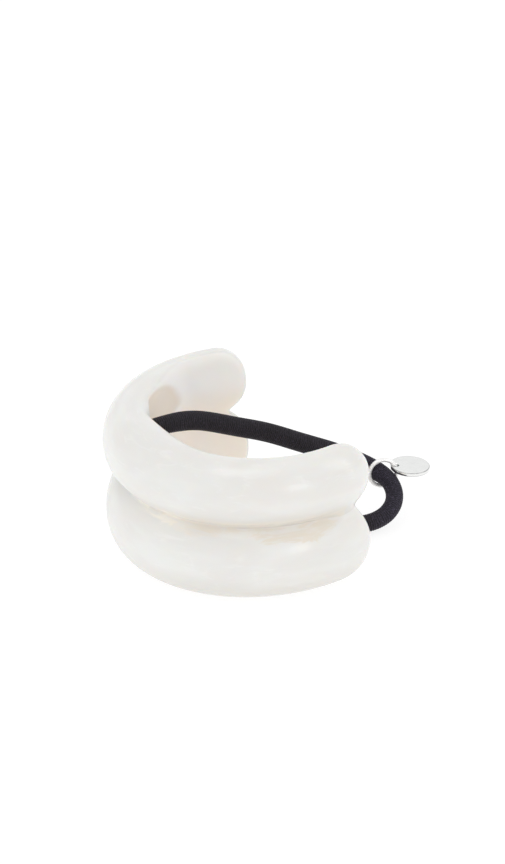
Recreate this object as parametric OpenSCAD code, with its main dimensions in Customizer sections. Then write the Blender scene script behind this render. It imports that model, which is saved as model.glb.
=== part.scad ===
// Ponytail cuff: an open resin cuff of two stacked half-round lobes, with an elastic loop
// whose two ends are set in the inner wall, and a small round tag on a jump ring.
// The cuff lies on its edge. Its decorative middle faces -Y and its opening faces +Y.

/* [Cuff] */
// Radius of the middle of the wall, seen from above
wall_radius = 27; // [26.5:0.1:27.5]
// How far each lobe bulges outwards from the middle of the wall
lobe_bulge = 6.1; // [5:0.1:7]
// How far the wall reaches inwards at the cuff's middle, where it holds the elastic's ends
wall_inner_middle = 6; // [5.5:0.1:6.2]
// How far the wall reaches inwards at the two tips
wall_inner_tip = 1.2; // [1.2:0.1:2]
// Half of the height of one lobe
lobe_half_height = 8.4; // [8.35:0.05:8.6]
// Height from one lobe's centre to the other's, less than a lobe's height so that they merge
lobe_pitch = 16.6; // [16.2:0.1:16.7]
// Further inward swelling of the wall between its middle and the -X tip
swelling = 3; // [0:0.1:3.2]
// Angle of arc from the cuff's middle to where the +X tip starts to round off
right_arc = 97; // [92:0.5:105]
// Angle of arc from the cuff's middle to where the -X tip starts to round off
left_arc = 101; // [92:0.5:105]
// Length of the rounded tip on the +X side
right_tip_length = 9.2; // [5:0.1:10]
// Length of the rounded tip on the -X side
left_tip_length = 7.1; // [5:0.1:10]
// Share of the cuff's height that is left where the +X tip starts
right_tip_height = 0.96; // [0.9:0.01:1]
// Share of the cuff's height that is left where the -X tip starts
left_tip_height = 0.98; // [0.9:0.01:1]

/* [Elastic] */
// Diameter of the elastic cord
elastic_d = 4; // [3.6:0.1:4]
// Clearance round the elastic in its sockets
socket_clearance = 0.15; // [0.1:0.05:0.2]

/* [Jump ring and tag] */
// Radius of the jump ring, to the middle of its wire
ring_radius = 3.1; // [3.1:0.05:3.3]
// Diameter of the ring's wire
ring_wire = 0.8; // [0.7:0.05:0.8]
// Diameter of the tag
tag_d = 8.6; // [7:0.2:8.8]
// Thickness of the tag
tag_thickness = 0.8; // [0.6:0.1:0.8]
// Radius of the tag's hole
tag_hole_r = 0.75; // [0.75:0.05:0.85]
// Metal left between the hole and the tag's edge
tag_hole_margin = 0.35; // [0.3:0.05:0.4]

/* [Hidden] */
$fn = 64;

// The middle of the C faces -Y
middle_angle = 270;
mid_height = lobe_half_height + lobe_pitch / 2;

// Facets of the lobes: rings along the arc, rings in each tip, points round each half section
arc_rings = 44;
tip_rings = 7;
half_points = 14;
// Exponents of the section's inner half and of the outlines of the +X and the -X tip
inner_squareness = 4;
right_tip_roundness = 2;
left_tip_roundness = 2.15;
// How closely the wall's inward thickening keeps to the cuff's middle, and its half angle
thickening_power = 3.2;
thickening_half_angle = 100;
// Where the swelling is widest, as an angle from the cuff's middle, and its half angle
swelling_angle = -55;
swelling_half_angle = 35;

// Middle of the elastic, from the socket in the upper lobe, round the far bend, which hangs
// down to the surface the cuff lies on, to the socket in the lower lobe
ELASTIC_ROUTE = [
    [-11, -25, 27.2], [-9, -19.5, 28.5], [-8.5, -14, 28.5], [-8.5, -9, 27.4],
    [-7.5, -3.5, 25.2], [-6.5, 1.5, 23.2], [-5.5, 6.5, 21.2], [-4, 11.5, 18.6],
    [-3, 16.5, 16], [-2, 21.8, 13.2], [-1.2, 26.2, 10.5], [1.4, 29, 9], [4.2, 30.1, 8],
    [6.7, 30.4, 7.1], [9.9, 29.5, 5.6], [12.4, 27, 4.1], [13.2, 22.8, 2.7],
    [11, 18, 2], [8, 12.5, 2], [6, 7, 2], [4.5, 1.5, 2], [4, -4, 2.5],
    [4.5, -9.5, 3.5], [6.5, -14.5, 4.5], [8.5, -19.5, 5.5], [11, -25, 6]
];
elastic_sides = 10;
// Point of the route where the jump ring squeezes the elastic, the share of its thickness that
// is lost there, and how far along the elastic this reaches
ring_point = 12;
squeeze = 0.22;
squeeze_reach = 2.2;
// How far a socket runs on past the elastic's end
socket_spare = 0.3;

// Where the jump ring hangs on the elastic, the direction of its axis, and the side of it that
// the tag hangs on
ring_centre = [4, 29.9, 8.5];
ring_axis = [0.955, -0.29, 0.06];
tag_side = [0.27, 0.93, 0.25];
// Heading of the tag seen from above, and the angle that its far edge is lower by
tag_heading = 70;
tag_tilt = 5;

// The vector at length 1
function unit(v) = v / norm(v);

// Superellipse power of a sine or cosine that keeps its sign
function signed_power(v, n) = sign(v) * pow(abs(v), 2 / n);

// Share of the full section that is left at u, from 0 where a tip starts to 1 at its end
function tip_share(u, n) = pow(max(0, 1 - pow(u, n)), 1 / n);

// Angle that a length takes along the middle of the wall
function arc_angle(length) = length / wall_radius * 180 / PI;

// Rings along the arc, as [angle from the cuff's middle, share of the way into a tip]
function stations() = concat(
    [for (i = [tip_rings - 1 : -1 : 1])
        let (u = sin(90 * i / tip_rings))
        [-left_arc - u * arc_angle(left_tip_length), u]],
    [for (i = [0 : arc_rings]) [-left_arc + (left_arc + right_arc) * i / arc_rings, 0]],
    [for (i = [1 : tip_rings - 1])
        let (u = sin(90 * i / tip_rings))
        [right_arc + u * arc_angle(right_tip_length), u]]
);

// Share of the cuff's height at an angle from the middle
function height_share(angle) =
    let (
        s = min(1, abs(angle) / (angle > 0 ? right_arc : left_arc)),
        lost = 1 - (angle > 0 ? right_tip_height : left_tip_height)
    )
    1 - lost * s ^ 3 * (4 - 3 * s);

// Smooth hump, 1 high in its middle and 0 from its half angle on
function hump(angle, half_angle) = (1 + cos(min(180, abs(angle) * 180 / half_angle))) / 2;

// Inward reach of the wall at an angle from the middle
function inner_reach(angle) =
    wall_inner_tip
    + (wall_inner_middle - wall_inner_tip) * hump(angle, thickening_half_angle) ^ thickening_power
    + swelling * hump(angle - swelling_angle, swelling_half_angle);

// One closed section, as points [distance from the middle of the wall, height]
function section(outer, inner, half_height) = concat(
    [for (i = [0 : half_points - 1])
        let (a = -90 + 180 * i / half_points)
        [outer * cos(a), half_height * sin(a)]],
    [for (i = [0 : half_points - 1])
        let (a = 90 + 180 * i / half_points)
        [inner * signed_power(cos(a), inner_squareness),
         half_height * signed_power(sin(a), inner_squareness)]]
);

// A point of the wall at an angle from the middle, a distance outwards and a height above
// the middle of the cuff's height
function on_wall(angle, out, z) =
    let (a = middle_angle + angle, r = wall_radius + out)
    [r * cos(a), r * sin(a), mid_height + height_share(angle) * z];

// Triangles of a tube of rings that closes on one point at each end
function tube_faces(rings, sides) = concat(
    [for (i = [0 : rings - 2], j = [0 : sides - 1])
        [i * sides + j, i * sides + (j + 1) % sides, (i + 1) * sides + j]],
    [for (i = [0 : rings - 2], j = [0 : sides - 1])
        [i * sides + (j + 1) % sides, (i + 1) * sides + (j + 1) % sides, (i + 1) * sides + j]],
    [for (j = [0 : sides - 1]) [rings * sides, (j + 1) % sides, j]],
    [for (j = [0 : sides - 1])
        [rings * sides + 1, (rings - 1) * sides + j, (rings - 1) * sides + (j + 1) % sides]]
);

// One lobe of the wall with rounded tips, centred at z above the middle of the cuff's height
module lobe(z) {
    rings = stations();
    points = [for (s = rings)
        let (
            roundness = s[0] > 0 ? right_tip_roundness : left_tip_roundness,
            round_share = tip_share(s[1], roundness),
            flat_share = tip_share(s[1], inner_squareness)
        )
        for (p = section(lobe_bulge * round_share, inner_reach(s[0]) * flat_share,
            lobe_half_height * round_share))
        on_wall(s[0], p[0], z + p[1])];
    left_end = on_wall(-left_arc - arc_angle(left_tip_length), 0, z);
    right_end = on_wall(right_arc + arc_angle(right_tip_length), 0, z);
    polyhedron(concat(points, [left_end, right_end]), tube_faces(len(rings), 2 * half_points));
}

// Blind socket for an end of the elastic, along the leg of its route from mouth to end
module socket(mouth, end) {
    leg = end - mouth;
    translate(mouth)
        rotate([0, acos(leg[2] / norm(leg)), atan2(leg[1], leg[0])])
        cylinder(h = norm(leg) + socket_spare, r = elastic_d / 2 + socket_clearance);
}

// The resin cuff: two merged lobes, with a socket for each end of the elastic
module cuff() {
    last = len(ELASTIC_ROUTE) - 1;
    color([0.91, 0.9, 0.87])
    difference() {
        union() {
            lobe(lobe_pitch / 2);
            lobe(-lobe_pitch / 2);
        }
        socket(ELASTIC_ROUTE[1], ELASTIC_ROUTE[0]);
        socket(ELASTIC_ROUTE[last - 1], ELASTIC_ROUTE[last]);
    }
}

// Direction of the route at point i
function route_direction(path, i) =
    unit(path[min(i + 1, len(path) - 1)] - path[max(i - 1, 0)]);

// Directions square to the route, carried along it so that the tube doesn't twist
function route_sides(path) = [
    for (
        i = 0,
        s = unit(cross(route_direction(path, 0), [0, 0, 1]));
        i < len(path);
        i = i + 1,
        t = route_direction(path, min(i, len(path) - 1)),
        s = unit(s - (s * t) * t)
    ) s
];

// Radius of the elastic at a point of its route
function elastic_radius(p) =
    let (from_ring = norm(p - ELASTIC_ROUTE[ring_point]))
    elastic_d / 2 * (1 - squeeze * exp(-(from_ring / squeeze_reach) ^ 2));

// The elastic cord, one tube along its whole route
module elastic() {
    path = ELASTIC_ROUTE;
    sides = route_sides(path);
    points = [for (i = [0 : len(path) - 1], j = [0 : elastic_sides - 1])
        let (
            t = route_direction(path, i),
            a = 360 * j / elastic_sides
        )
        path[i]
            + elastic_radius(path[i]) * (cos(a) * sides[i] + sin(a) * cross(sides[i], t))];
    color([0.2, 0.19, 0.21])
    polyhedron(concat(points, [path[0], path[len(path) - 1]]),
        tube_faces(len(path), elastic_sides));
}

// The jump ring, round the elastic and through the tag's hole
module jump_ring() {
    axis = unit(ring_axis);
    color([0.8, 0.8, 0.8])
    translate(ring_centre)
    rotate([0, acos(axis[2]), atan2(axis[1], axis[0])])
    rotate_extrude()
    translate([ring_radius, 0])
    circle(d = ring_wire, $fn = 32);
}

// The blank round tag, with its hole on the ring's wire
module tag() {
    axis = unit(ring_axis);
    hole = ring_centre + ring_radius * unit(tag_side - (tag_side * axis) * axis);
    color([0.84, 0.84, 0.84])
    translate(hole)
    rotate([0, tag_tilt, tag_heading])
    difference() {
        translate([tag_d / 2 - tag_hole_margin - tag_hole_r, 0, -tag_thickness / 2])
            cylinder(h = tag_thickness, d = tag_d);
        translate([0, 0, -tag_thickness])
            cylinder(h = 2 * tag_thickness, r = tag_hole_r);
    }
}

cuff();
elastic();
jump_ring();
tag();
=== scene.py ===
"""Visual model of a ponytail cuff: an open C of two merged pearl-white resin lobes, a knitted
elastic loop set in its inner wall, and a blank round tag on a jump ring.

Lengths are in millimetres where nothing else is said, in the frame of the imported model."""

import math

import bpy
import numpy as np
from mathutils import Matrix, Vector


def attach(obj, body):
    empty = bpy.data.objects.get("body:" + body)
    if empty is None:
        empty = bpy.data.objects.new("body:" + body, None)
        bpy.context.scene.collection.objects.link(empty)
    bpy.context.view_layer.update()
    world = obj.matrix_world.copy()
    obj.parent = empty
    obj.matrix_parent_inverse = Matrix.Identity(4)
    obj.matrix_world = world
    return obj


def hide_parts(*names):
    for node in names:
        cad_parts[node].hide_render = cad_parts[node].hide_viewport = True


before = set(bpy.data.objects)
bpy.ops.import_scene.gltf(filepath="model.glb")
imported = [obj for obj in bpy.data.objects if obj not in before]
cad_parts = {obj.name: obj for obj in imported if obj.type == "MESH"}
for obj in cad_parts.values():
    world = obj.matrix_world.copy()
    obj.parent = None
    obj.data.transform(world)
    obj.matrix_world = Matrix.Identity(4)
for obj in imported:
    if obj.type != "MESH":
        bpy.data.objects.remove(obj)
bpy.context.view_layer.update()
MM = 0.001

# Camera
# The photograph is 505 x 864 px. Its camera looks down by 27.4 degrees and leans by 2 degrees.
# Its aim and distances are in metres.
IMAGE_LONG_SIDE = 864.0
FOCAL_LENGTH_PX = 4300.0
SHIFT_PX = -2.3, 2.6
VIEW_AZIMUTH = math.radians(60.8)
VIEW_ELEVATION = math.radians(27.4)
VIEW_ROLL = math.radians(2.0)
AIM = Vector((0.0, 0.0, 0.0249))
DISTANCE = 0.9348
SENSOR = 36.0
CLIP_DISTANCES = 0.05, 20.0


def make_camera():
    right = Vector((math.cos(VIEW_AZIMUTH), math.sin(VIEW_AZIMUTH), 0.0))
    level = Vector((-math.sin(VIEW_AZIMUTH), math.cos(VIEW_AZIMUTH), 0.0))
    forward = level * math.cos(VIEW_ELEVATION) - Vector((0, 0, math.sin(VIEW_ELEVATION)))
    up = right.cross(forward)
    leaning_right = right * math.cos(VIEW_ROLL) - up * math.sin(VIEW_ROLL)
    leaning_up = up * math.cos(VIEW_ROLL) + right * math.sin(VIEW_ROLL)
    data = bpy.data.cameras.new("camera")
    data.sensor_width = SENSOR
    data.lens = FOCAL_LENGTH_PX / IMAGE_LONG_SIDE * SENSOR
    data.shift_x, data.shift_y = (shift / IMAGE_LONG_SIDE for shift in SHIFT_PX)
    data.clip_start, data.clip_end = CLIP_DISTANCES
    camera = bpy.data.objects.new("camera", data)
    bpy.context.scene.collection.objects.link(camera)
    turn = Matrix((leaning_right, leaning_up, -forward)).transposed().to_4x4()
    camera.matrix_world = Matrix.Translation(AIM - forward * DISTANCE) @ turn
    bpy.context.scene.camera = camera


make_camera()


# Node and mesh helpers
class Nodes:
    """A material's node tree, with short calls to add and join nodes."""

    def __init__(self, name):
        self.material = bpy.data.materials.new(name)
        self.material.use_nodes = True
        self.tree = self.material.node_tree
        self.shader = self.tree.nodes["Principled BSDF"]
        self.place = self.add("ShaderNodeTexCoord").outputs["Object"]

    def add(self, kind, **settings):
        node = self.tree.nodes.new(kind)
        for key, value in settings.items():
            setattr(node, key, value)
        return node

    def feed(self, socket, value):
        if isinstance(value, bpy.types.NodeSocket):
            self.tree.links.new(value, socket)
        else:
            socket.default_value = value

    def math(self, operation, *values):
        node = self.add("ShaderNodeMath", operation=operation)
        for socket, value in zip(node.inputs, values):
            self.feed(socket, value)
        return node.outputs[0]

    def vector(self, operation, *values):
        node = self.add("ShaderNodeVectorMath", operation=operation)
        for socket, value in zip(node.inputs, values):
            self.feed(socket, value)
        return node.outputs["Value" if operation in ("LENGTH", "DOT_PRODUCT") else "Vector"]

    def parts(self, place):
        node = self.add("ShaderNodeSeparateXYZ")
        self.feed(node.inputs[0], place)
        return node.outputs

    def join(self, x, y, z):
        node = self.add("ShaderNodeCombineXYZ")
        for socket, value in zip(node.inputs, (x, y, z)):
            self.feed(socket, value)
        return node.outputs[0]

    def noise(self, place, scale, detail, roughness, distortion=0.0):
        node = self.add("ShaderNodeTexNoise")
        self.feed(node.inputs["Vector"], place)
        node.inputs["Scale"].default_value = scale
        node.inputs["Detail"].default_value = detail
        node.inputs["Roughness"].default_value = roughness
        node.inputs["Distortion"].default_value = distortion
        return node.outputs["Fac"]

    def span(self, value, low, high, to_low=0.0, to_high=1.0, smooth=True):
        node = self.add(
            "ShaderNodeMapRange", interpolation_type="SMOOTHSTEP" if smooth else "LINEAR"
        )
        for name, number in zip(
            ("Value", "From Min", "From Max", "To Min", "To Max"),
            (value, low, high, to_low, to_high),
        ):
            self.feed(node.inputs[name], number)
        return node.outputs[0]

    def mix(self, share, first, second):
        node = self.add("ShaderNodeMix", data_type="RGBA")
        self.feed(node.inputs[0], share)
        self.feed(node.inputs[6], first)
        self.feed(node.inputs[7], second)
        return node.outputs[2]

    def bump(self, height, distance, strength):
        node = self.add("ShaderNodeBump")
        node.inputs["Strength"].default_value = strength
        node.inputs["Distance"].default_value = distance
        self.feed(node.inputs["Height"], height)
        return node.outputs[0]

    def set(self, **values):
        """Sets or feeds the shader's sockets, each named with _ for a space."""
        for name, value in values.items():
            self.feed(self.shader.inputs[name.replace("_", " ")], value)


def rgb(red, green, blue):
    return (red, green, blue, 1.0)


def set_stops(ramp, stops):
    """Gives a colour ramp these stops alone, each a place and a colour."""
    elements = ramp.color_ramp.elements
    for at, colour in stops:
        elements.new(at).color = (*colour, 1.0)
    elements.remove(elements[0])
    elements.remove(elements[-1])


def make_piece(name, points, faces, material, node):
    """A smooth mesh of points in millimetres that rides on the part and stands for a node."""
    mesh = bpy.data.meshes.new(name)
    faces = faces.tolist() if isinstance(faces, np.ndarray) else faces
    mesh.from_pydata((np.asarray(points) * MM).tolist(), [], faces)
    mesh.validate()
    mesh.polygons.foreach_set("use_smooth", [True] * len(mesh.polygons))
    mesh.materials.append(material)
    mesh.update()
    piece = bpy.data.objects.new(name, mesh)
    bpy.context.scene.collection.objects.link(piece)
    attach(piece, "root")
    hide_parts(node)
    return piece


def unit(v):
    v = np.asarray(v, float)
    return v / np.linalg.norm(v, axis=-1, keepdims=True)


# Elastic
# The same points as the cord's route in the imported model, from the upper socket round the far
# bend to the lower socket.
ELASTIC_ROUTE = [
    (-11, -25, 27.2), (-9, -19.5, 28.5), (-8.5, -14, 28.5), (-8.5, -9, 27.4),
    (-7.5, -3.5, 25.2), (-6.5, 1.5, 23.2), (-5.5, 6.5, 21.2), (-4, 11.5, 18.6),
    (-3, 16.5, 16), (-2, 21.8, 13.2), (-1.2, 26.2, 10.5), (1.4, 29, 9), (4.2, 30.1, 8),
    (6.7, 30.4, 7.1), (9.9, 29.5, 5.6), (12.4, 27, 4.1), (13.2, 22.8, 2.7),
    (11, 18, 2), (8, 12.5, 2), (6, 7, 2), (4.5, 1.5, 2), (4, -4, 2.5),
    (4.5, -9.5, 3.5), (6.5, -14.5, 4.5), (8.5, -19.5, 5.5), (11, -25, 6),
]
ELASTIC_D = 4.0
# The elastic is stretched less along its upper strand than round the loop. It has its own
# diameter in the sockets and changes to a strand's over as much again.
SOCKET_LENGTH = 6
UPPER_STRAND_END = 50
LOOP_FROM, LOOP_TO = 62, 66
LOWER_STRAND_START = 76
UPPER_STRAND_RADIUS = 2.17
LOOP_RADIUS = 1.94
LOWER_STRAND_RADIUS = 1.97
# The jump ring, and the room that the elastic leaves round its wire
RING_RADIUS = 3.1
RING_WIRE = 0.92
RING_CENTRE = np.array([4, 29.9, 8.5])
RING_AXIS = unit([0.955, -0.29, 0.06])
DENT_ROOM = 0.17
DENT_SOFTNESS = 0.1
DENT_ROUNDS = 3
# The elastic's bulge, which rests on the jump ring from inside
BULGE = 0.55
BULGE_SIDE = unit([-0.178, -0.728, -0.699])
BULGE_LENGTH = 1.7
BULGE_CENTRE = RING_CENTRE - 1.1 * RING_AXIS
# Ribs of the knit, half a stitch apart from one column of stitches to the next
RIB_PITCH = 0.44
RIB_HEIGHT = 0.1
RIB_STAGGER = 0.25
COLUMN_HEIGHT = 0.012
SIDES_A_COLUMN = 4
RINGS_A_RIB = 6
ELASTIC_SIDES = 44
YARN_DARK = rgb(0.021, 0.018, 0.021)
YARN_LIGHT = rgb(0.029, 0.025, 0.031)
# Painted shade in the rib valleys
YARN_VALLEY_SHADE = rgb(0.006, 0.005, 0.007)
YARN_SPECK = rgb(0.050, 0.042, 0.066)
YARN_SHEEN = rgb(0.84, 0.77, 0.86)
# The yarn is lighter and bluer round the far bend than along the strands
FAR_BEND = 16 * MM, 27 * MM
FAR_YARN = rgb(0.034, 0.030, 0.047)
FAR_YARN_SPECK = rgb(0.100, 0.085, 0.130)
# Each noise: scale in a metre, detail, roughness and, where it has one, distortion. Each bump:
# height in metres and strength.
THREAD_NOISE = 9000.0, 2.0, 0.6
WEAR_NOISE = 260.0, 3.0, 0.55
SPECK_NOISE = 3600.0, 2.0, 0.6
WANDER_NOISE = 1400.0, 2.0, 0.5
THREAD_BUMP = 0.05 * MM, 0.7


def smooth_route(points, samples=300, passes=60):
    """A natural cubic spline through the points, smoothed a little, at even steps."""
    p = np.array(points, float)
    knots = np.r_[0, np.cumsum(np.linalg.norm(np.diff(p, axis=0), axis=1) ** 0.5)]
    step = np.diff(knots)
    n = len(knots)
    left, right = np.eye(n), np.zeros((n, 3))
    for i in range(1, n - 1):
        left[i, i - 1 : i + 2] = step[i - 1], 2 * (step[i - 1] + step[i]), step[i]
        right[i] = 6 * ((p[i + 1] - p[i]) / step[i] - (p[i] - p[i - 1]) / step[i - 1])
    bend = np.linalg.solve(left, right)
    t = np.linspace(0, knots[-1], samples)
    k = np.clip(np.searchsorted(knots, t, side="right") - 1, 0, n - 2)
    h = step[k][:, None]
    a = (knots[k + 1] - t)[:, None] / h
    b = 1 - a
    line = a * p[k] + b * p[k + 1]
    line += ((a**3 - a) * bend[k] + (b**3 - b) * bend[k + 1]) * h**2 / 6
    for _ in range(passes):
        line[1:-1] = (line[:-2] + line[1:-1] * 2 + line[2:]) / 4
    return line


def even_steps(line, step):
    length = np.r_[0, np.cumsum(np.linalg.norm(np.diff(line, axis=0), axis=1))]
    count = max(2, int(round(length[-1] / step)) + 1)
    at = np.linspace(0, length[-1], count)
    return np.stack([np.interp(at, length, line[:, i]) for i in range(3)], 1)


def carried_sides(line):
    """Two directions square to a line at each point, carried along so that they don't twist."""
    tangent = unit(np.gradient(line, axis=0))
    side = unit(np.cross(tangent[0], (0, 0, 1)))
    sides = []
    for t in tangent:
        side = unit(side - (side @ t) * t)
        sides.append(side)
    sides = np.array(sides)
    return sides, np.cross(tangent, sides)


def tube(line, radius, sides):
    """Points and faces of a closed tube along a line, with a radius for each of its points."""
    first, second = carried_sides(line)
    angle = np.linspace(0, 2 * np.pi, sides, endpoint=False)
    cosine, sine = np.cos(angle)[:, None], np.sin(angle)[:, None]
    ring = cosine * first[:, None] + sine * second[:, None]
    points = line[:, None] + ring * radius[..., None]
    n = len(line)
    i, j = np.meshgrid(np.arange(n - 1), np.arange(sides), indexing="ij")
    k = (j + 1) % sides
    faces = np.stack([i * sides + j, i * sides + k, (i + 1) * sides + k, (i + 1) * sides + j], -1)
    faces = faces.reshape(-1, 4).tolist()
    faces.append(list(range(sides))[::-1])
    faces.append([(n - 1) * sides + j for j in range(sides)])
    return points.reshape(-1, 3), faces


def elastic_material():
    """Knitted yarn. The mesh's first coordinate counts the ribs along the elastic."""
    n = Nodes("knitted_elastic")
    threads = n.noise(n.place, *THREAD_NOISE)
    wear = n.noise(n.place, *WEAR_NOISE)
    speck = n.noise(n.place, *SPECK_NOISE)
    wander = n.noise(n.place, *WANDER_NOISE)
    ribs = n.parts(n.add("ShaderNodeTexCoord").outputs["UV"])[0]
    ribs = n.math("MULTIPLY", n.math("ADD", ribs, wander), 2 * math.pi)
    crest = n.span(n.math("COSINE", ribs), -0.7, 0.8)
    colour = n.mix(n.span(wear, 0.3, 0.7), YARN_DARK, YARN_LIGHT)
    far = n.span(n.parts(n.place)[1], *FAR_BEND)
    colour = n.mix(far, colour, FAR_YARN)
    # Painted shade in the rib valleys, darker where the knit's ribs dip
    colour = n.mix(crest, YARN_VALLEY_SHADE, colour)
    specks = n.mix(far, YARN_SPECK, FAR_YARN_SPECK)
    colour = n.mix(n.span(speck, 0.54, 0.73), colour, specks)
    n.set(
        Base_Color=colour,
        Roughness=n.span(threads, 0.3, 0.7, 0.62, 0.85),
        Specular_IOR_Level=0.2,
        Sheen_Weight=0.08,
        Sheen_Roughness=0.4,
        Sheen_Tint=YARN_SHEEN,
        Normal=n.bump(threads, *THREAD_BUMP),
    )
    return n.material


def elastic_radius(line):
    """Radius of the elastic at each point of its smooth line."""
    length = np.r_[0, np.cumsum(np.linalg.norm(np.diff(line, axis=0), axis=1))]
    stops = (
        (SOCKET_LENGTH, ELASTIC_D / 2),
        (2 * SOCKET_LENGTH, UPPER_STRAND_RADIUS),
        (UPPER_STRAND_END, UPPER_STRAND_RADIUS),
        (LOOP_FROM, LOOP_RADIUS),
        (LOOP_TO, LOOP_RADIUS),
        (LOWER_STRAND_START, LOWER_STRAND_RADIUS),
        (length[-1] - 2 * SOCKET_LENGTH, LOWER_STRAND_RADIUS),
        (length[-1] - SOCKET_LENGTH, ELASTIC_D / 2),
    )
    return np.interp(length, *zip(*stops))


def bulged(points, line):
    """The elastic's points, pushed out on one side where it passes through the jump ring."""
    axis = np.repeat(line, ELASTIC_SIDES, axis=0)
    spoke = unit(points - axis)
    share = np.clip(spoke @ BULGE_SIDE, 0, 1) ** 1.5
    share = share * np.exp(-((np.linalg.norm(axis - BULGE_CENTRE, axis=1) / BULGE_LENGTH) ** 2))
    return points + spoke * (BULGE * share)[:, None]


def dented(points, line):
    """The elastic's points, pressed in along the wire of the jump ring."""
    axis = np.repeat(line, ELASTIC_SIDES, axis=0)
    room = RING_WIRE / 2 + DENT_ROOM
    for _ in range(DENT_ROUNDS):
        spoke = points - RING_CENTRE
        off_plane = spoke @ RING_AXIS
        in_plane = np.linalg.norm(spoke - off_plane[:, None] * RING_AXIS, axis=1)
        from_wire = np.hypot(in_plane - RING_RADIUS, off_plane)
        depth = DENT_SOFTNESS * np.logaddexp(0, (room - from_wire) / DENT_SOFTNESS)
        points = points - unit(points - axis) * depth[:, None]
    return points


def make_elastic():
    line = even_steps(smooth_route(ELASTIC_ROUTE), RIB_PITCH / RINGS_A_RIB)
    side = np.arange(ELASTIC_SIDES)[None, :]
    rib_count = np.arange(len(line))[:, None] / RINGS_A_RIB + RIB_STAGGER * (side % 2)
    valley = RIB_HEIGHT / 2 * (1 - np.cos(2 * np.pi * rib_count))
    column = COLUMN_HEIGHT * np.cos(2 * np.pi * side / SIDES_A_COLUMN)
    radius = elastic_radius(line)[:, None] - valley + column
    points, faces = tube(line, radius, ELASTIC_SIDES)
    points = dented(bulged(points, line), line)
    piece = make_piece("elastic_loop", points, faces, elastic_material(), "elastic")
    corner = np.empty(len(piece.data.loops), int)
    piece.data.loops.foreach_get("vertex_index", corner)
    round_share = np.broadcast_to(side / ELASTIC_SIDES, rib_count.shape)
    place = np.stack([rib_count, round_share], -1).reshape(-1, 2)
    layer = piece.data.uv_layers.new(name="ribs")
    layer.data.foreach_set("uv", place[corner].astype(np.float32).ravel())
    return piece, line


elastic, elastic_line = make_elastic()


# Cuff
WALL_RADIUS = 27.0
LOBE_BULGE = 6.1
WALL_INNER_MIDDLE = 6.0
WALL_INNER_TIP = 1.2
THICKENING_POWER = 3.2
THICKENING_HALF_ANGLE = math.radians(100)
SWELLING = 3.0
SWELLING_ANGLE = math.radians(-52)
SWELLING_HALF_ANGLE = math.radians(35)
# The oval recess reaches further from its deepest point one way than the other
RECESS_S = WALL_RADIUS * math.radians(-42)
RECESS_Z = 24.0
RECESS_LENGTHS = WALL_RADIUS * math.radians(40), WALL_RADIUS * math.radians(14)
RECESS_HEIGHTS = 4.5, 8.8
RECESS_DEPTH = 0.5
RECESS_EDGE = 0.3
LOBE_HALF_HEIGHT = 8.4
LOBE_PITCH = 16.6
MID_HEIGHT = LOBE_HALF_HEIGHT + LOBE_PITCH / 2
# The groove between the lobes runs a little above the middle
GROOVE_LIFT = 0.95
GROOVE_LIFT_REACH = 5.5
RIGHT_ARC = math.radians(97)
LEFT_ARC = math.radians(101)
RIGHT_TIP_LENGTH = 9.2
LEFT_TIP_LENGTH = 7.1
RIGHT_TIP_HEIGHT = 0.96
LEFT_TIP_HEIGHT = 0.98
RIGHT_TIP_ROUNDNESS = 2.0
LEFT_TIP_ROUNDNESS = 2.15
INNER_SQUARENESS = 4.4
# The groove grows shallower over the last degrees before the right tip
GROOVE_BLEND = 3.0
TIP_GROOVE_BLEND = 8.0
TIP_GROOVE_ARC = math.radians(15)
SOCKET_RADIUS = ELASTIC_D / 2 + 0.15
SOCKET_BLEND = 0.7
# Each socket's tube starts two of its lengths before the mouth and ends just past the elastic
SOCKET_LEAD = 2
SOCKET_REACH = 3.06
CUFF_STEP = 0.42
GRID_MARGIN = 1.0
LONGEST_MOVE = 0.3


def wall_place(s, out, z):
    """Point of the cuff at a length s along the wall, a distance outwards and a height."""
    angle = s / WALL_RADIUS - np.pi / 2
    r = WALL_RADIUS + out
    return np.stack([r * np.cos(angle), r * np.sin(angle), z], -1)


def smooth_less(a, b, width):
    """The lesser of two distances, rounded over where they cross."""
    h = np.maximum(width - np.abs(a - b), 0) / width
    return np.minimum(a, b) - h**3 * width / 6


def hump(angle, half_angle):
    """Smooth hump, 1 high in its middle and 0 from its half angle on."""
    return (1 + np.cos(np.minimum(np.pi, np.abs(angle) * np.pi / half_angle))) / 2


def recess(s, z):
    """1 in the shallow oval recess of the swelling and 0 outside it, with a soft edge."""
    along, up = s - RECESS_S, z - RECESS_Z
    from_middle = (along / np.where(along < 0, *RECESS_LENGTHS)) ** 2
    from_middle = from_middle + (up / np.where(up < 0, *RECESS_HEIGHTS)) ** 2
    share = np.clip((1 - from_middle) / RECESS_EDGE, 0, 1)
    return share * share * (3 - 2 * share)


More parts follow.
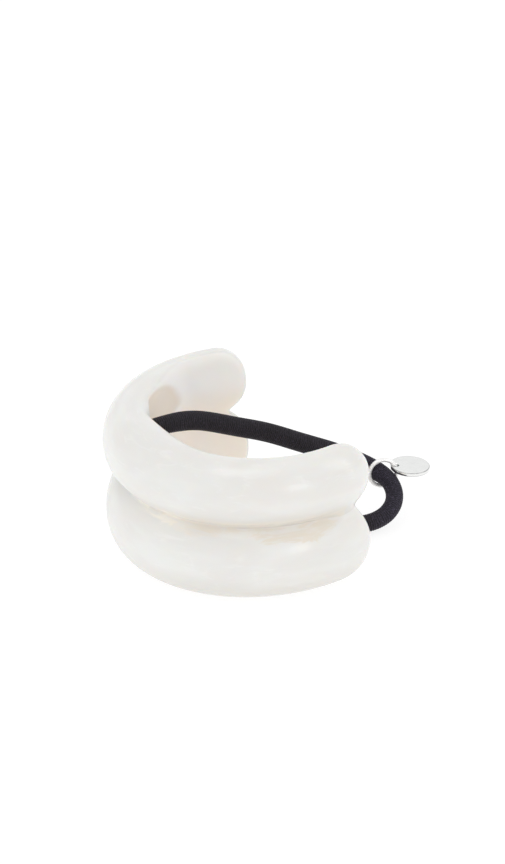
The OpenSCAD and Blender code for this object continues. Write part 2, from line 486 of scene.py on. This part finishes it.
def lobe_distance(s, out, z, centre):
    """Rough distance to the lobe whose middle is at a height above the cuff's middle."""
    from_mid = z - MID_HEIGHT
    near_groove = np.exp(-(((from_mid - GROOVE_LIFT) / GROOVE_LIFT_REACH) ** 2))
    from_mid = from_mid - GROOVE_LIFT * near_groove
    angle = s / WALL_RADIUS
    right = angle > 0
    arc = np.where(right, RIGHT_ARC, LEFT_ARC)
    share = np.minimum(1, np.abs(angle) / arc)
    lost = 1 - np.where(right, RIGHT_TIP_HEIGHT, LEFT_TIP_HEIGHT)
    height = 1 - lost * share**3 * (4 - 3 * share)
    into_tip = np.maximum(0, np.abs(angle) - arc) * WALL_RADIUS
    u = into_tip / np.where(right, RIGHT_TIP_LENGTH, LEFT_TIP_LENGTH)
    across = np.abs((from_mid / height - centre) / LOBE_HALF_HEIGHT)
    n = np.where(right, RIGHT_TIP_ROUNDNESS, LEFT_TIP_ROUNDNESS)
    outline = (across**n + u**n) ** (1 / n)
    thickening = hump(angle, THICKENING_HALF_ANGLE) ** THICKENING_POWER
    inner = WALL_INNER_TIP + (WALL_INNER_MIDDLE - WALL_INNER_TIP) * thickening
    inner = inner + SWELLING * hump(angle - SWELLING_ANGLE, SWELLING_HALF_ANGLE)
    inner = inner - RECESS_DEPTH * recess(s, z)
    outer_part = np.sqrt((out / LOBE_BULGE) ** 2 + outline**2)
    k = INNER_SQUARENESS
    inner_part = ((np.abs(out) / inner) ** k + outline**k) ** (1 / k)
    return (np.where(out > 0, outer_part, inner_part) - 1) * LOBE_HALF_HEIGHT


def socket_distance(s, out, z, mouth, end):
    """Distance to the socket that runs from its mouth to the elastic's end."""
    p = wall_place(s, out, z)
    a, b = np.array(mouth, float), np.array(end, float)
    leg = b - a
    start = a - leg * SOCKET_LEAD
    t = np.clip(((p - start) @ leg) / (leg @ leg), 0, SOCKET_REACH)[..., None]
    return np.linalg.norm(p - start - t * leg, axis=-1) - SOCKET_RADIUS


def cuff_distance(s, out, z):
    """Below zero inside the cuff: both lobes joined, less the sockets."""
    into_tip = np.clip((s / WALL_RADIUS - RIGHT_ARC) / TIP_GROOVE_ARC + 1, 0, 1)
    both = smooth_less(
        lobe_distance(s, out, z, LOBE_PITCH / 2),
        lobe_distance(s, out, z, -LOBE_PITCH / 2),
        GROOVE_BLEND + (TIP_GROOVE_BLEND - GROOVE_BLEND) * into_tip * into_tip,
    )
    for mouth, end in (ELASTIC_ROUTE[1::-1], ELASTIC_ROUTE[-2:]):
        both = -smooth_less(-both, socket_distance(s, out, z, mouth, end), SOCKET_BLEND)
    return both


def slope(function, p, gap=0.01):
    """The function's gradient at points p, by central differences."""
    parts = []
    for i in range(3):
        d = np.zeros(3)
        d[i] = gap
        parts.append((function(*(p + d).T) - function(*(p - d).T)) / (2 * gap))
    return np.stack(parts, -1)


def settle(function, p, rounds):
    """Moves points onto the surface where the function is zero."""
    for _ in range(rounds):
        g = slope(function, p)
        move = (function(*p.T) / np.maximum((g**2).sum(-1), 1e-9))[:, None] * g
        far = np.linalg.norm(move, axis=1, keepdims=True)
        p = p - move * np.minimum(1, LONGEST_MOVE / np.maximum(far, 1e-9))
    return p


def surface_net(function, low, high, step):
    """Quads round the zero surface of a function on a grid, one point in each cell it cuts."""
    axes = [np.arange(a, b + step, step) for a, b in zip(low, high)]
    values = function(*np.meshgrid(*axes, indexing="ij"))
    inside = values < 0
    shape = np.array(values.shape)
    cells = tuple(shape - 1)
    count, total, weight = np.zeros(cells, int), np.zeros(cells + (3,)), np.zeros(cells)
    corner = {}
    for c in np.ndindex(2, 2, 2):
        window = tuple(slice(k, k + m) for k, m in zip(c, cells))
        corner[c] = values[window]
        count += inside[window]
    for c in np.ndindex(2, 2, 2):
        for axis in range(3):
            if c[axis]:
                continue
            d = tuple(1 if i == axis else k for i, k in enumerate(c))
            a, b = corner[c], corner[d]
            cut = (a < 0) != (b < 0)
            t = np.where(cut, a / np.where(cut, a - b, 1), 0)
            at = np.zeros(cells + (3,)) + np.array(c, float)
            at[..., axis] += t
            total += at * cut[..., None]
            weight += cut
    active = (count > 0) & (count < 8)
    index = np.full(cells, -1)
    index[active] = np.arange(active.sum())
    where = np.argwhere(active)
    points = low + step * (where + total[active] / weight[active][:, None])
    faces = []
    for axis in range(3):
        b, c = [i for i in range(3) if i != axis]
        first = [slice(None)] * 3
        first[axis] = slice(0, -1)
        second = [slice(None)] * 3
        second[axis] = slice(1, None)
        starts, ends = inside[tuple(first)], inside[tuple(second)]
        edges = np.argwhere(starts != ends)
        edges = edges[(edges[:, b] > 0) & (edges[:, c] > 0)]
        quad = []
        for db, dc in ((-1, -1), (0, -1), (0, 0), (-1, 0)):
            e = edges.copy()
            e[:, b] += db
            e[:, c] += dc
            quad.append(index[tuple(e.T)])
        quad = np.stack(quad, -1)
        flip = starts[tuple(edges.T)] ^ (axis == 1)
        quad[~flip] = quad[~flip][:, ::-1]
        faces.append(quad)
    return points, np.concatenate(faces)


def evened(function, points, faces, rounds=6):
    """Evens out the quads by moving each point towards its neighbours' middle and back."""
    pairs = np.concatenate([faces[:, [i, (i + 1) % 4]] for i in range(4)])
    pairs = np.concatenate([pairs, pairs[:, ::-1]])
    degree = np.bincount(pairs[:, 0], minlength=len(points))[:, None]
    for _ in range(rounds):
        middle = np.stack(
            [np.bincount(pairs[:, 0], points[pairs[:, 1], i], len(points)) for i in range(3)], -1
        )
        points = settle(function, points + 0.5 * (middle / degree - points), 1)
    return settle(function, points, 3)


# Resin
RESIN_DIM = rgb(0.815, 0.805, 0.78)
RESIN_PALE = rgb(0.85, 0.853, 0.833)
RESIN_WISP = rgb(0.89, 0.89, 0.875)
RESIN_PINK = rgb(0.835, 0.805, 0.77)
# Painted shade low on the lobes
RESIN_UNDERSIDE_SHADE = rgb(0.665, 0.635, 0.58)
# Painted shade of the groove at the left
RESIN_GROOVE_SHADE = rgb(0.70, 0.695, 0.655)
# Painted light inside
RESIN_INSIDE_LIGHT = rgb(0.97, 0.955, 0.93)
# Painted warm shade low on the inner wall
RESIN_WARM_SHADE = rgb(0.96, 0.86, 0.77)
# Painted brown shade in the oval recess
RESIN_OVAL_SHADE = rgb(0.83, 0.745, 0.645)
# Painted beige shade in the groove, at the left and at the right
BEIGE_SHADE_LEFT = rgb(0.945, 0.90, 0.815)
BEIGE_SHADE_RIGHT = rgb(0.815, 0.765, 0.68)
CLOUD_NOISE = 150.0, 3.0, 0.5, 0.5
WISP_NOISE = 420.0, 4.0, 0.62, 1.4
PINK_NOISE = 110.0, 3.0, 0.5, 0.8
STREAK_NOISE = 700.0, 4.0, 0.65, 1.0
RIPPLE_NOISE = 260.0, 2.0, 0.5
RIPPLE_BUMP = 0.06 * MM, 0.5
# The clouds and streaks are longer along the wall than across it
CLOUD_STRETCH = 0.4
STREAK_STRETCH = 0.22
# Painted shade low on each lobe, up to these heights over the groove and over the floor, less at
# the right tip.
# Angles round the wall are in radians from the cuff's middle.
SHADE_OVER_GROOVE = 7.0
SHADE_OVER_FLOOR = 8.5
UNDERSIDE_SHADE_SHARE = 0.8
RIGHT_TIP_FADE = 1.55, 1.8
RIGHT_TIP_SHARE = 0.45
# Painted shade of the groove at the left, and the angles and heights over which it comes in
GROOVE_SHADE_FADE = -0.5, -0.1
GROOVE_SHADE_HEIGHTS = 7 * MM, 12 * MM
GROOVE_SHADE_SHARE = 0.6
# Inside and in the oval the surface faces inwards, by the cosine to the way out
INSIDE_FACING = -0.99, -0.75
# Share of the painted light inside, then the heights and share of the painted warm shade low on
# the inner wall
INSIDE_LIGHT_SHARE = 0.8
WARM_SHADE_HEIGHTS = 18 * MM, 27 * MM
WARM_SHADE_SHARE = 0.85
OVAL_FACING = -0.55, -0.35
OVAL_RAGGEDNESS = 0.2
# Width of the band of painted beige shade at angles in degrees from the cuff's middle
BAND_WIDTHS = ((-6, 0), (6, 1.1), (28, 1.9), (52, 1.4), (68, 2.8), (80, 3.6), (90, 2.6), (99, 0))
BAND_SCALE = 4
# Where the band fades: at its lower edge, at its thin ends, inwards and above the groove
BAND_EDGE_FADE = -0.4 * MM, 0.9 * MM
BAND_END_FADE = 0.0, 0.3 * MM
BAND_OUT_FADE = 0.3 * MM, 1.2 * MM
BAND_TOP_FADE = -3.5 * MM, -1.5 * MM
BEIGE_FADE = 0.3, 0.7


def ellipse(n, along, up, lengths, heights):
    """Square of the share of the way from an oval's deepest point to its edge."""
    total = None
    for value, (back, front) in ((along, lengths), (up, heights)):
        share = n.math(
            "MAXIMUM", n.math("DIVIDE", value, -back * MM), n.math("DIVIDE", value, front * MM)
        )
        square = n.math("MULTIPLY", share, share)
        total = square if total is None else n.math("ADD", total, square)
    return total


def resin_material():
    """Cast resin, pearl white with cloudy wisps that run along the wall."""
    n = Nodes("pearl_resin")
    x, y, z = n.parts(n.place)
    across = n.math("SQRT", n.math("ADD", n.math("MULTIPLY", x, x), n.math("MULTIPLY", y, y)))
    out = n.math("SUBTRACT", across, WALL_RADIUS * MM)
    turn = n.math("ARCTAN2", x, n.math("MULTIPLY", y, -1.0))
    along = n.math("MULTIPLY", turn, WALL_RADIUS * MM)
    wall = n.join(n.math("MULTIPLY", along, CLOUD_STRETCH), out, z)
    clouds = n.noise(wall, *CLOUD_NOISE)
    wisps = n.noise(wall, *WISP_NOISE)
    pink = n.noise(n.vector("ADD", wall, (0.3, 0.1, 0.2)), *PINK_NOISE)
    colour = n.mix(n.span(clouds, 0.32, 0.68), RESIN_DIM, RESIN_PALE)
    colour = n.mix(n.span(wisps, 0.52, 0.80, 0, 0.7), colour, RESIN_WISP)
    colour = n.mix(n.span(pink, 0.50, 0.75, 0, 0.5), colour, RESIN_PINK)

    # Painted shade low on each lobe
    groove_height = (MID_HEIGHT + GROOVE_LIFT) * MM
    over_groove = n.span(z, groove_height, groove_height + SHADE_OVER_GROOVE * MM, 1, 0)
    before_tip = n.span(turn, *RIGHT_TIP_FADE, 1, RIGHT_TIP_SHARE)
    over_groove = n.math("MULTIPLY", over_groove, before_tip)
    over_floor = n.span(z, 0.0, SHADE_OVER_FLOOR * MM, 1, 0)
    upper = n.math("GREATER_THAN", z, groove_height)
    low = n.math("MAXIMUM", n.math("MULTIPLY", upper, over_groove), over_floor)
    colour = n.mix(n.math("MULTIPLY", low, UNDERSIDE_SHADE_SHARE), colour, RESIN_UNDERSIDE_SHADE)

    # Painted shade of the groove at the left, on the lower lobe under the groove
    left = n.math("MULTIPLY", n.span(turn, *GROOVE_SHADE_FADE, 1, 0), n.span(z, *GROOVE_SHADE_HEIGHTS))
    left = n.math("MULTIPLY", left, n.math("LESS_THAN", z, groove_height))
    colour = n.mix(n.math("MULTIPLY", left, GROOVE_SHADE_SHARE), colour, RESIN_GROOVE_SHADE)

    # Painted light inside, where the surface faces the axis, and painted warm shade low on the
    # inner wall
    normal = n.add("ShaderNodeNewGeometry").outputs["Normal"]
    outwards = n.vector("NORMALIZE", n.join(x, y, 0.0))
    facing = n.vector("DOT_PRODUCT", normal, outwards)
    inside = n.span(facing, *INSIDE_FACING, 1, 0)
    colour = n.mix(n.math("MULTIPLY", inside, INSIDE_LIGHT_SHARE), colour, RESIN_INSIDE_LIGHT)
    low = n.math("MULTIPLY", inside, n.span(z, *WARM_SHADE_HEIGHTS, 1, 0))
    colour = n.mix(n.math("MULTIPLY", low, WARM_SHADE_SHARE), colour, RESIN_WARM_SHADE)

    # Painted brown shade in the oval recess
    edge = n.math("MULTIPLY", n.math("SUBTRACT", clouds, 0.5), OVAL_RAGGEDNESS)
    from_s = n.math("SUBTRACT", along, RECESS_S * MM)
    from_z = n.math("SUBTRACT", z, RECESS_Z * MM)
    oval = ellipse(n, from_s, from_z, RECESS_LENGTHS, RECESS_HEIGHTS)
    oval = n.span(n.math("ADD", oval, edge), 1 - RECESS_EDGE, 1.0, 1, 0)
    oval = n.math("MULTIPLY", oval, n.span(facing, *OVAL_FACING, 1, 0))
    colour = n.mix(oval, colour, RESIN_OVAL_SHADE)

    # Painted beige shade in a band under the upper lobe, in the groove
    band = n.add("ShaderNodeValToRGB")
    band.color_ramp.interpolation = "EASE"
    set_stops(band, [(0.5 + at / 360, [width / BAND_SCALE] * 3) for at, width in BAND_WIDTHS])
    n.feed(band.inputs[0], n.math("ADD", n.math("DIVIDE", turn, 2 * math.pi), 0.5))
    streaked = n.join(n.math("MULTIPLY", along, STREAK_STRETCH), out, z)
    streaks = n.noise(streaked, *STREAK_NOISE)
    ragged = n.span(wisps, 0.3, 0.7, 0.55, 1.35, smooth=False)
    width = n.math("MULTIPLY", n.math("MULTIPLY", band.outputs[0], BAND_SCALE * MM), ragged)
    below = n.math("SUBTRACT", groove_height, z)
    depth = n.math("SUBTRACT", width, below)
    groove = n.math("MULTIPLY", n.span(depth, *BAND_EDGE_FADE), n.span(width, *BAND_END_FADE))
    groove = n.math("MULTIPLY", groove, n.span(out, *BAND_OUT_FADE))
    groove = n.math("MULTIPLY", groove, n.span(below, *BAND_TOP_FADE))
    groove = n.math("MULTIPLY", groove, n.span(streaks, 0.36, 0.56, 0.35, 1.0))
    beige = n.mix(n.span(turn, *BEIGE_FADE), BEIGE_SHADE_LEFT, BEIGE_SHADE_RIGHT)
    colour = n.mix(groove, colour, beige)
    n.set(
        Base_Color=colour,
        Roughness=n.span(wisps, 0.3, 0.7, 0.34, 0.46),
        Specular_IOR_Level=0.35,
        Subsurface_Weight=0.5,
        Subsurface_Radius=(1.0, 0.75, 0.5),
        Subsurface_Scale=0.003,
        Coat_Weight=0.5,
        Coat_Roughness=0.06,
        Normal=n.bump(n.noise(n.place, *RIPPLE_NOISE), *RIPPLE_BUMP),
    )
    return n.material


def make_cuff():
    low = np.array([-WALL_RADIUS * LEFT_ARC - LEFT_TIP_LENGTH, -WALL_INNER_MIDDLE, 0])
    high = np.array([WALL_RADIUS * RIGHT_ARC + RIGHT_TIP_LENGTH, LOBE_BULGE, 2 * MID_HEIGHT])
    low, high = low - GRID_MARGIN, high + GRID_MARGIN
    points, faces = surface_net(cuff_distance, low, high, CUFF_STEP)
    points = evened(cuff_distance, settle(cuff_distance, points, 4), faces)
    return make_piece(
        "resin_cuff", wall_place(*points.T), faces[:, ::-1], resin_material(), "cuff"
    )


make_cuff()


# Jump ring and tag
RING_SLIT = 0.07
RING_SLIT_ANGLE = math.radians(200)
RING_STEPS = 220
RING_SIDES = 28
# Shares of the wire's radius at each of its ends, which are rounded over
RING_END_SHARES = 0.9, 0.97, 1.0
RING_COLOUR = 0.96, 0.95, 0.94
TAG_D = 8.75
TAG_THICKNESS = 0.95
TAG_HOLE_R = 0.75
TAG_HOLE_MARGIN = 0.35
# Side of the ring that the tag's hole is on, and how the tag is turned and tilted
TAG_SIDE = np.array([0.27, 0.93, 0.35])
TAG_HEADING = math.radians(70)
TAG_TILT = math.radians(5)
TAG_EDGE = 0.16
TAG_DOME = 0.04
TAG_RAYS = 240
TAG_FACE_RINGS = 12
TAG_EDGE_RINGS = 5
TAG_COLOUR = 0.87, 0.875, 0.865
TAG_SIDE_COLOUR = rgb(0.85, 0.85, 0.84)
# Painted dark reflection along the disc's edges
TAG_EDGE_REFLECTION = rgb(0.45, 0.45, 0.45)
# The side's colour comes in over these shares of the edge, and the painted dark reflection of the
# edge over this height
TAG_SIDE_FADE = 1.1, 0.4
TAG_EDGE_FADE = 0.09
METAL_BELOW = rgb(0.4, 0.4, 0.4)
HAZE_NOISE = 420.0, 4.0, 0.6
SCRATCH_NOISE = 1.0, 2.0, 0.6, 0.4
SCRATCH_SCALES = 9000.0, 700.0, 2500.0
SCRATCH_BUMP = 0.004 * MM, 0.5


def metal_material(name, colour, roughness, metallic=1.0, shaded=0.45, disc=None):
    """Polished plated metal with a fine haze and hairline scratches.

    Its underside is shaded by a share. A disc, given by its middle and axis, has a lighter
    side and painted dark reflections along its edges."""
    n = Nodes(name)
    haze = n.noise(n.place, *HAZE_NOISE)
    scratches = n.noise(n.vector("MULTIPLY", n.place, SCRATCH_SCALES), *SCRATCH_NOISE)
    colours = n.mix(n.span(haze, 0.35, 0.7), rgb(*colour), rgb(*[c * 0.97 for c in colour]))
    down = n.parts(n.add("ShaderNodeNewGeometry").outputs["Normal"])[2]
    colours = n.mix(n.span(down, -0.8, -0.25, shaded, 0), colours, METAL_BELOW)
    if disc:
        middle, axis = disc
        from_middle = n.vector("SUBTRACT", n.place, tuple(middle * MM))
        height = n.math("ABSOLUTE", n.vector("DOT_PRODUCT", from_middle, tuple(axis)))
        reach = n.vector("LENGTH", from_middle)
        side = n.span(reach, *[(TAG_D / 2 - TAG_EDGE * share) * MM for share in TAG_SIDE_FADE])
        top = (TAG_THICKNESS / 2 - TAG_EDGE) * MM
        edge = n.span(height, top - TAG_EDGE_FADE * MM, top)
        # Painted dark reflection along the disc's edges
        colours = n.mix(side, colours, n.mix(edge, TAG_SIDE_COLOUR, TAG_EDGE_REFLECTION))
    n.set(
        Base_Color=colours,
        Metallic=metallic,
        Roughness=n.span(haze, 0.3, 0.75, roughness, roughness * 1.5),
        Normal=n.bump(scratches, *SCRATCH_BUMP),
    )
    return n.material


def strip_faces(rows, sides, closed=False):
    """Quads between rows of points, each row a closed ring."""
    i, j = np.meshgrid(np.arange(rows if closed else rows - 1), np.arange(sides), indexing="ij")
    k, n = (j + 1) % sides, (i + 1) % rows
    quads = [i * sides + j, n * sides + j, n * sides + k, i * sides + k]
    return np.stack(quads, -1).reshape(-1, 4).tolist()


def make_ring():
    """The ring's wire, cut through once and closed to a hairline slit."""
    side = unit(np.cross((0, 0, 1), RING_AXIS))
    up = np.cross(RING_AXIS, side)
    slit = RING_SLIT / RING_RADIUS / 2
    turn = np.linspace(slit, 2 * np.pi - slit, RING_STEPS) + RING_SLIT_ANGLE
    spoke = np.cos(turn)[:, None] * side + np.sin(turn)[:, None] * up
    line = RING_CENTRE + RING_RADIUS * spoke
    middle = np.ones(RING_STEPS - 2 * len(RING_END_SHARES))
    radius = np.r_[RING_END_SHARES, middle, RING_END_SHARES[::-1]] * (RING_WIRE / 2)
    angle = np.linspace(0, 2 * np.pi, RING_SIDES, endpoint=False)
    cosine, sine = np.cos(angle)[:, None], np.sin(angle)[:, None]
    across = cosine * spoke[:, None] + sine * RING_AXIS
    points = (line[:, None] + across * radius[:, None, None]).reshape(-1, 3)
    faces = strip_faces(RING_STEPS, RING_SIDES)
    first_end = np.arange(RING_SIDES)
    last_end = (RING_STEPS - 1) * RING_SIDES + first_end[::-1]
    faces += [first_end.tolist(), last_end.tolist()]
    material = metal_material("ring_metal", RING_COLOUR, 0.25, metallic=0.35, shaded=0.1)
    return make_piece("ring_wire", points, faces, material, "jump_ring")


def make_tag():
    """A disc with an off-centre hole: one closed profile on each ray from the hole's middle."""
    big, half = TAG_D / 2, TAG_THICKNESS / 2
    centre = np.array([big - TAG_HOLE_MARGIN - TAG_HOLE_R, 0.0])
    turn = np.linspace(0, 2 * np.pi, TAG_RAYS, endpoint=False)
    ray = np.stack([np.cos(turn), np.sin(turn)], -1)
    reach = ray @ centre + np.sqrt((ray @ centre) ** 2 + big**2 - centre @ centre)
    rim = ray * reach[:, None]
    outward = (rim - centre) / big
    bend = np.linspace(0, np.pi / 2, TAG_EDGE_RINGS)
    rows = []

    def row(flat, height):
        rows.append(np.column_stack([flat, np.broadcast_to(height, TAG_RAYS)]))

    def dome(flat):
        return TAG_DOME * (1 - ((flat - centre) ** 2).sum(1) / big**2)

    for side in (1, -1):
        hole_edge = ray * (TAG_HOLE_R + TAG_EDGE)
        rim_edge = rim - outward * TAG_EDGE
        face = []
        for b in bend[:-1]:
            flat = ray * (TAG_HOLE_R + TAG_EDGE * (1 - np.cos(b)))
            face.append((flat, half - TAG_EDGE * (1 - np.sin(b)) + dome(flat) - TAG_DOME))
        for share in np.linspace(0, 1, TAG_FACE_RINGS):
            flat = hole_edge * (1 - share) + rim_edge * share
            face.append((flat, half + dome(flat) - TAG_DOME))
        for b in bend[::-1][1:]:
            flat = rim - outward * TAG_EDGE * (1 - np.cos(b))
            face.append((flat, half - TAG_EDGE * (1 - np.sin(b)) + dome(flat) - TAG_DOME))
        for flat, height in face if side > 0 else face[::-1]:
            row(flat, side * height)
    points = np.concatenate(rows)
    tilt = np.array(Matrix.Rotation(TAG_HEADING, 3, "Z") @ Matrix.Rotation(TAG_TILT, 3, "Y"))
    hole = RING_CENTRE + RING_RADIUS * unit(TAG_SIDE - (TAG_SIDE @ RING_AXIS) * RING_AXIS)
    middle = hole + np.r_[centre, 0] @ tilt.T
    material = metal_material("tag_metal", TAG_COLOUR, 0.16, disc=(middle, tilt[:, 2]))
    faces = strip_faces(len(rows), TAG_RAYS, True)
    return make_piece("round_tag", hole + points @ tilt.T, faces, material, "tag")


ring = make_ring()
tag = make_tag()


# Stage and light
# The floor's reach and the softboxes' distance are in metres
FLOOR_REACH = 3.0
FLOOR_GREY = 0.2
FLOOR_GLOW = 0.84
# Greys of the even light by the sine of the height in the sky, from the horizon to overhead
WORLD_STOPS = (
    (0.0, (0.82, 0.82, 0.82)),
    (0.15, (0.86, 0.86, 0.86)),
    (0.5, (0.96, 0.965, 0.965)),
    (1.0, (1.05, 1.05, 1.05)),
)
WORLD_STRENGTH = 1.0
SOFTBOX_DISTANCE = 0.8
# Name, point that it lights, azimuth, elevation, width and height in degrees, and radiance
SOFTBOXES = (
    ("overhead_softbox", (24.1, -18.5, 31.8), -53, 65, 26, 28, 2.0),
    ("front_window", (31.4, -7.8, 28.3), 1, 11, 15, 15, 3.2),
    ("round_softbox", (31, 3.3, 30.4), 50, 32, 24, 40, 1.7, True),
    ("low_strip", (28, -12, 10), -38, 13, 80, 8, 0.5),
)


def make_floor():
    mesh = bpy.data.meshes.new("floor")
    a, b = -FLOOR_REACH, FLOOR_REACH
    mesh.from_pydata([(a, a, 0), (b, a, 0), (b, b, 0), (a, b, 0)], [], [(0, 1, 2, 3)])
    n = Nodes("pale_floor")
    n.set(
        Base_Color=rgb(FLOOR_GREY, FLOOR_GREY, FLOOR_GREY),
        Roughness=0.6,
        Specular_IOR_Level=0.2,
        Emission_Color=rgb(1, 1, 1),
        Emission_Strength=FLOOR_GLOW,
    )
    mesh.materials.append(n.material)
    floor = bpy.data.objects.new("floor", mesh)
    bpy.context.scene.collection.objects.link(floor)


def make_world():
    """Even pale light, a little brighter overhead than at the horizon."""
    world = bpy.data.worlds.new("studio")
    bpy.context.scene.world = world
    world.use_nodes = True
    tree = world.node_tree
    place = tree.nodes.new("ShaderNodeTexCoord")
    parts = tree.nodes.new("ShaderNodeSeparateXYZ")
    ramp = tree.nodes.new("ShaderNodeValToRGB")
    set_stops(ramp, WORLD_STOPS)
    tree.links.new(place.outputs["Generated"], parts.inputs[0])
    tree.links.new(parts.outputs["Z"], ramp.inputs[0])
    tree.links.new(ramp.outputs[0], tree.nodes["Background"].inputs["Color"])
    tree.nodes["Background"].inputs["Strength"].default_value = WORLD_STRENGTH


def make_softbox(name, at, azimuth, elevation, width, height, radiance, round_box=False):
    """A soft light in the direction from a point (mm), its size given in degrees."""
    a, e = math.radians(azimuth), math.radians(elevation)
    away = Vector((math.cos(a) * math.cos(e), math.sin(a) * math.cos(e), math.sin(e)))
    size = [2 * SOFTBOX_DISTANCE * math.tan(math.radians(angle) / 2) for angle in (width, height)]
    data = bpy.data.lights.new(name, "AREA")
    data.shape = "ELLIPSE" if round_box else "RECTANGLE"
    data.size, data.size_y = size
    area = size[0] * size[1] * (math.pi / 4 if round_box else 1)
    data.energy = radiance * math.pi * area
    light = bpy.data.objects.new(name, data)
    bpy.context.scene.collection.objects.link(light)
    side = Vector((0, 0, 1)).cross(away).normalized()
    turn = Matrix((side, away.cross(side), away)).transposed().to_4x4()
    light.matrix_world = Matrix.Translation(Vector(at) * MM + away * SOFTBOX_DISTANCE) @ turn
    # The even light comes from the world, and the softboxes only give the gloss its highlights
    light.visible_diffuse = False


make_floor()
make_world()
for softbox in SOFTBOXES:
    make_softbox(*softbox)
bpy.context.scene.view_settings.view_transform = "Standard"
